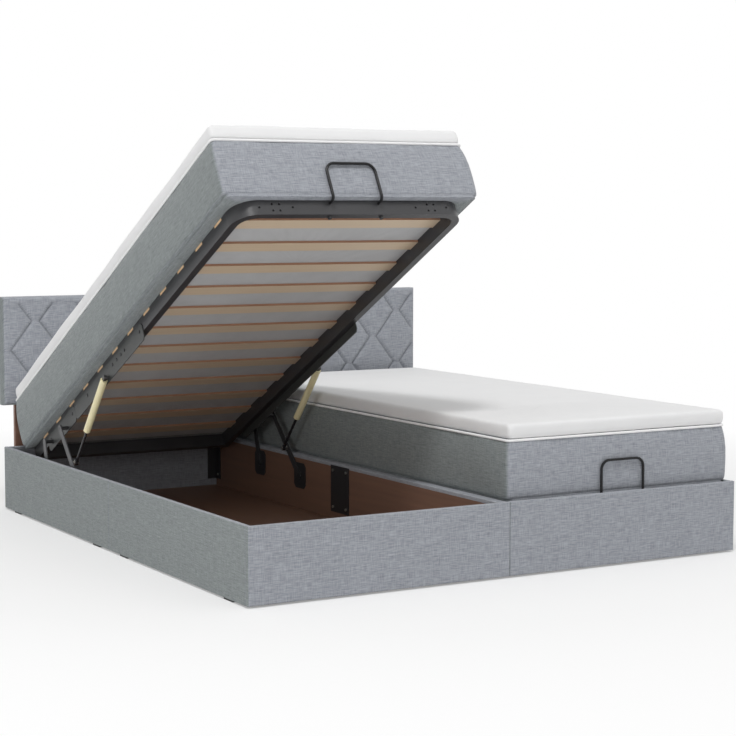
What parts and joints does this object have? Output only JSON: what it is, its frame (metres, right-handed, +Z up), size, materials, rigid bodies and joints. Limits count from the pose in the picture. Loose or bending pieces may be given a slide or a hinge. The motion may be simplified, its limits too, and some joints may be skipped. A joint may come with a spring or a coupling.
{
  "type": "ottoman storage bed",
  "caption": "Upholstered storage bed whose slatted platforms lift on levers and gas struts, each with its own mattress and topper, and a quilted headboard.",
  "frame": {"origin": "on the floor, under the middle of the bed's overall width and length", "axes": "+Y from the foot end to the headboard, +Z up, +X to the right seen from the foot end"},
  "size_m": [1.848, 2.142, 1.3972],
  "materials": {
    "upholstery": "linen-look weave, light grey",
    "white_fabric": "smooth knitted cover, white",
    "board": "brown faced board",
    "dark_board": "dark brown board",
    "slat_wood": "laminated slats, clear lacquer",
    "frame_paint": "dark grey powder coat",
    "dark_steel": "black powder coat",
    "handle_paint": "black satin coat",
    "sleeve_paint": "pale yellow gloss paint",
    "rod_steel": "black nitrided rod",
    "bright_steel": "zinc plated",
    "glide_plastic": "black moulded plastic"
  },
  "bodies": {
    "box": {"foot_panel_left": "upholstery", "foot_panel_right": "upholstery", "side_rail_left_foot": "upholstery", "side_rail_left_head": "upholstery", "side_rail_right_foot": "upholstery", "side_rail_right_head": "upholstery", "head_panel_left": "upholstery", "head_panel_right": "upholstery", "centre_divider_foot": "board", "centre_divider_head": "board", "glides": "glide_plastic", "floor_battens": "board", "left_floor_boards": "board", "right_floor_boards": "board", "rail_joining_plates": "dark_steel", "divider_joining_plates": "dark_steel", "corner_angles": "dark_steel", "box_screws": "bright_steel", "headboard_board": "dark_board", "headboard_spacers": "dark_board", "headboard_pad": "upholstery", "mount_plates": "dark_steel", "left_arm_pins": "bright_steel", "right_arm_pins": "bright_steel"},
    "left_front_arms": {"left_front_arms": "dark_steel", "left_arm_studs": "bright_steel"},
    "left_platform": {"left_strut_brackets": "frame_paint", "left_pivot_brackets": "frame_paint", "left_bracket_bolts": "bright_steel", "left_pivot_pins": "dark_steel", "left_platform_side_bars": "frame_paint", "left_platform_end_bars": "frame_paint", "left_platform_slats": "slat_wood", "left_handle": "handle_paint", "left_handle_nuts": "dark_steel", "left_mattress": "upholstery", "left_topper": "white_fabric"},
    "left_rear_arms": {"left_rear_arms": "dark_steel", "left_rear_studs": "bright_steel"},
    "left_strut_rods": {"left_strut_rods": "rod_steel"},
    "left_strut_cylinders": {"left_strut_sleeves": "sleeve_paint", "left_strut_tops": "bright_steel"},
    "right_front_arms": {"right_front_arms": "dark_steel", "right_arm_studs": "bright_steel"},
    "right_platform": {"right_strut_brackets": "frame_paint", "right_pivot_brackets": "frame_paint", "right_bracket_bolts": "bright_steel", "right_pivot_pins": "dark_steel", "right_platform_side_bars": "frame_paint", "right_platform_end_bars": "frame_paint", "right_platform_slats": "slat_wood", "right_handle": "handle_paint", "right_handle_nuts": "dark_steel", "right_mattress": "upholstery", "right_topper": "white_fabric"},
    "right_rear_arms": {"right_rear_arms": "dark_steel", "right_rear_studs": "bright_steel"},
    "right_strut_rods": {"right_strut_rods": "rod_steel"},
    "right_strut_cylinders": {"right_strut_sleeves": "sleeve_paint", "right_strut_tops": "bright_steel"}
  },
  "joints": [
    {"name": "left_lift", "type": "hinge", "parent": "box", "child": "left_front_arms", "pos_m": [-0.4575, 0.2908, 0.1583], "axis": [1, 0, 0], "range_deg": [-44.7, 0], "stiffness_Nm_per_rad": 330, "springref_deg": 85.94},
    {"name": "left_platform_tilt", "type": "hinge", "parent": "left_front_arms", "child": "left_platform", "pos_m": [-0.4575, 0.49391, 0.36605], "axis": [1, 0, 0], "range_deg": [0, 72.8]},
    {"name": "left_rear_swing", "type": "hinge", "parent": "box", "child": "left_rear_arms", "pos_m": [-0.4575, 0.61953, 0.16925], "axis": [1, 0, 0], "range_deg": [-70.53, 0]},
    {"name": "left_strut_swing", "type": "hinge", "parent": "left_front_arms", "child": "left_strut_rods", "pos_m": [-0.4575, 0.38308, 0.25269], "axis": [1, 0, 0], "range_deg": [0, 92.82]},
    {"name": "left_strut_stroke", "type": "slide", "parent": "left_strut_rods", "child": "left_strut_cylinders", "axis": [0, -0.6505, 0.7595], "range_m": [-0.14347, 0]},
    {"name": "right_lift", "type": "hinge", "parent": "box", "child": "right_front_arms", "pos_m": [0.4575, 0.2908, 0.1583], "axis": [1, 0, 0], "range_deg": [0, 44.7]},
    {"name": "right_platform_tilt", "type": "hinge", "parent": "right_front_arms", "child": "right_platform", "pos_m": [0.4575, 0.5813, 0.1631], "axis": [1, 0, 0], "range_deg": [-72.8, 0]},
    {"name": "right_rear_swing", "type": "hinge", "parent": "box", "child": "right_rear_arms", "pos_m": [0.4575, 0.61953, 0.16925], "axis": [1, 0, 0], "range_deg": [0, 70.53]},
    {"name": "right_strut_swing", "type": "hinge", "parent": "right_front_arms", "child": "right_strut_rods", "pos_m": [0.4575, 0.42278, 0.16048], "axis": [1, 0, 0], "range_deg": [-92.82, 0]},
    {"name": "right_strut_stroke", "type": "slide", "parent": "right_strut_rods", "child": "right_strut_cylinders", "axis": [0, -0.9997, 0.0228], "range_m": [0, 0.14347]}
  ],
  "couplings": [
    {"joint": "left_platform_tilt", "follows": "left_lift", "ratio": -1.6286},
    {"joint": "left_rear_swing", "follows": "left_lift", "ratio": 1.5778},
    {"joint": "left_strut_swing", "follows": "left_lift", "ratio": -2.0764},
    {"joint": "left_strut_stroke", "follows": "left_lift", "m_per_rad": 0.18388},
    {"joint": "right_platform_tilt", "follows": "right_lift", "ratio": -1.6286},
    {"joint": "right_rear_swing", "follows": "right_lift", "ratio": 1.5778},
    {"joint": "right_strut_swing", "follows": "right_lift", "ratio": -2.0764},
    {"joint": "right_strut_stroke", "follows": "right_lift", "m_per_rad": 0.18388}
  ]
}
